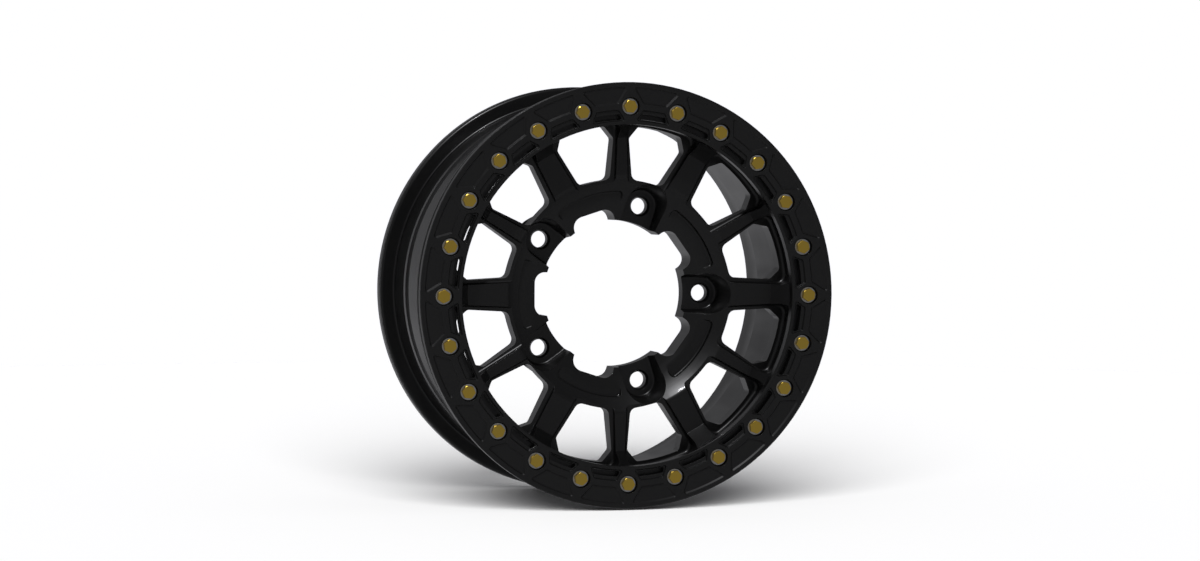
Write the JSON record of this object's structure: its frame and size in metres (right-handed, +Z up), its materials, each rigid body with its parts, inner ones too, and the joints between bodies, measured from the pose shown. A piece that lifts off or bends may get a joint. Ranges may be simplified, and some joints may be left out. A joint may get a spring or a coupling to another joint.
{
  "type": "beadlock wheel",
  "caption": "Black beadlock wheel: dished, spoked centre with lug pockets and a scalloped hub opening, a deep barrel, and a bolted clamp ring that holds the tyre's outer bead.",
  "frame": {"origin": "centre of the lug circle, on the hub's mounting face", "axes": "+Y along the axle towards the vehicle, so the street side faces -Y; +Z up; +X to the right seen from the street side"},
  "size_m": [0.4704, 0.247, 0.4704],
  "materials": {
    "wheel_coat": "satin black powder coat on cast aluminium",
    "ring_coat": "satin black powder coat on aluminium plate",
    "bolt_zinc": "yellow zinc plating",
    "washer_steel": "plain zinc plating"
  },
  "bodies": {
    "root": {"wheel": "wheel_coat", "beadlock_ring": "ring_coat", "ring_bolts": "bolt_zinc", "ring_washers": "washer_steel"}
  },
  "joints": []
}
